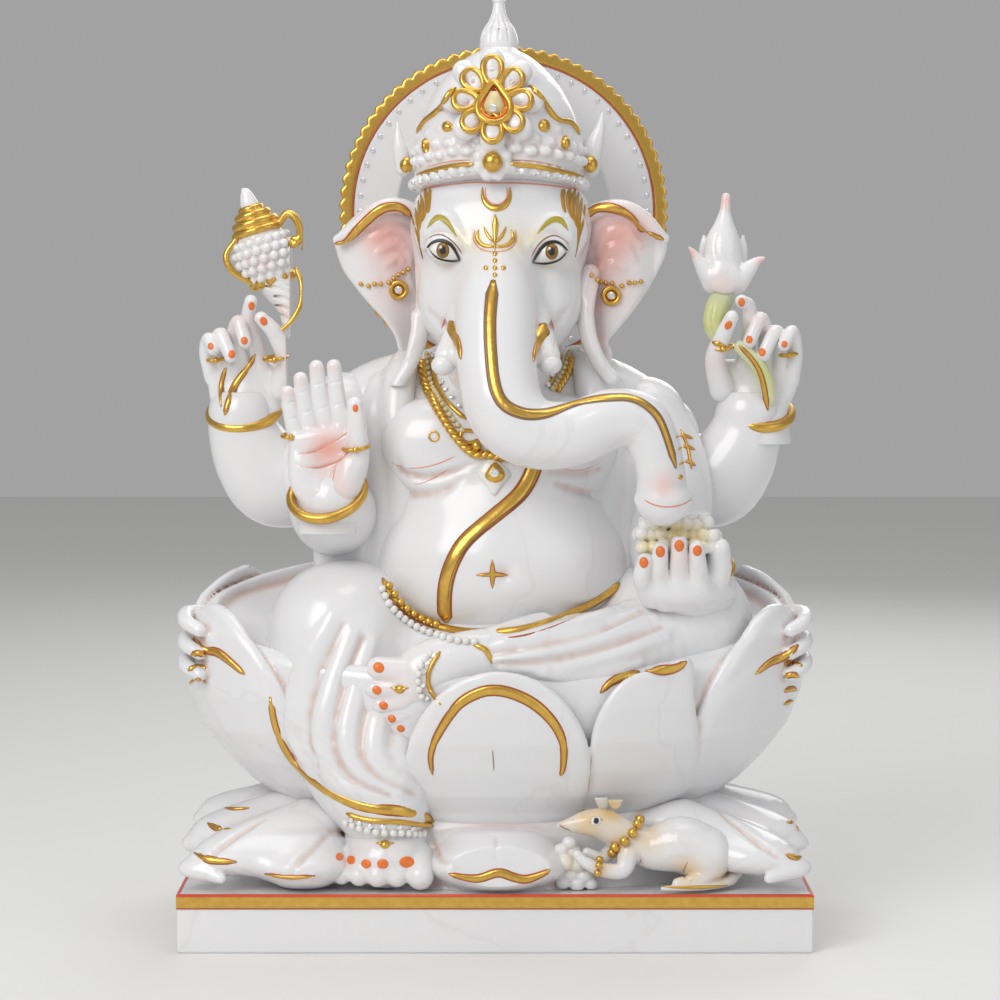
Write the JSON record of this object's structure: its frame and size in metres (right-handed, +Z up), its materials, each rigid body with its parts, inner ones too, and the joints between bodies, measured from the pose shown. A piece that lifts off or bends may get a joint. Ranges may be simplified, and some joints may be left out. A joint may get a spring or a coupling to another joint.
{
  "type": "seated elephant-headed marble idol",
  "caption": "Carved marble idol of a seated elephant-headed figure with raised arms, on a lotus base with a round halo and gilt dressing.",
  "frame": {"origin": "centre of the plinth's underside", "axes": "+Z up, the figure faces -Y, +X to the figure's left"},
  "size_m": [0.404, 0.2393, 0.61],
  "materials": {
    "marble": "polished",
    "painted_sweets": "painted",
    "clear_stone": "faceted",
    "gilding": "gilt",
    "dowel_steel": "plain"
  },
  "bodies": {
    "root": {"base_dowels": "dowel_steel", "lotus_dowels": "dowel_steel", "torso_dowels": "dowel_steel", "neck_dowel": "dowel_steel", "crown_dowel": "dowel_steel", "finial_dowel": "dowel_steel", "wrist_dowels": "dowel_steel", "shoulder_dowels": "dowel_steel", "halo_dowels": "dowel_steel", "plinth": "marble", "torso": "marble", "head": "marble", "leg_right": "marble", "leg_left": "marble", "lotus_bowl": "marble", "petal_apron": "marble", "trunk": "marble", "crown": "marble", "crown_finial": "marble", "arm_front_right": "marble", "arm_front_left": "marble", "arm_rear_left": "marble", "arm_rear_right": "marble", "shawl_left": "marble", "shawl_right": "marble", "ear_left": "marble", "ear_right": "marble", "tusk_left": "marble", "tusk_right": "marble", "halo_ring": "marble", "halo_rim": "gilding", "hand_rear_left": "marble", "hand_rear_right": "marble", "hand_front_right": "marble", "hand_front_left": "marble", "sweets": "painted_sweets", "conch_pot": "marble", "lotus_bud": "marble", "mouse": "marble", "mouse_sweet": "painted_sweets", "mouse_collar": "gilding", "belt": "gilding", "necklace_outer": "gilding", "necklace_inner": "gilding", "sacred_thread": "gilding", "necklace_pendant": "gilding", "bangle_rear_left": "gilding", "bangle_rear_right": "gilding", "bangle_front_right": "gilding", "bangle_front_left": "gilding", "anklet_right": "gilding", "anklet_left": "gilding", "crown_flower": "gilding", "crown_boss": "gilding", "halo_stones": "clear_stone", "crown_stones": "clear_stone", "flower_stones": "clear_stone", "ear_studs": "gilding"}
  },
  "joints": []
}
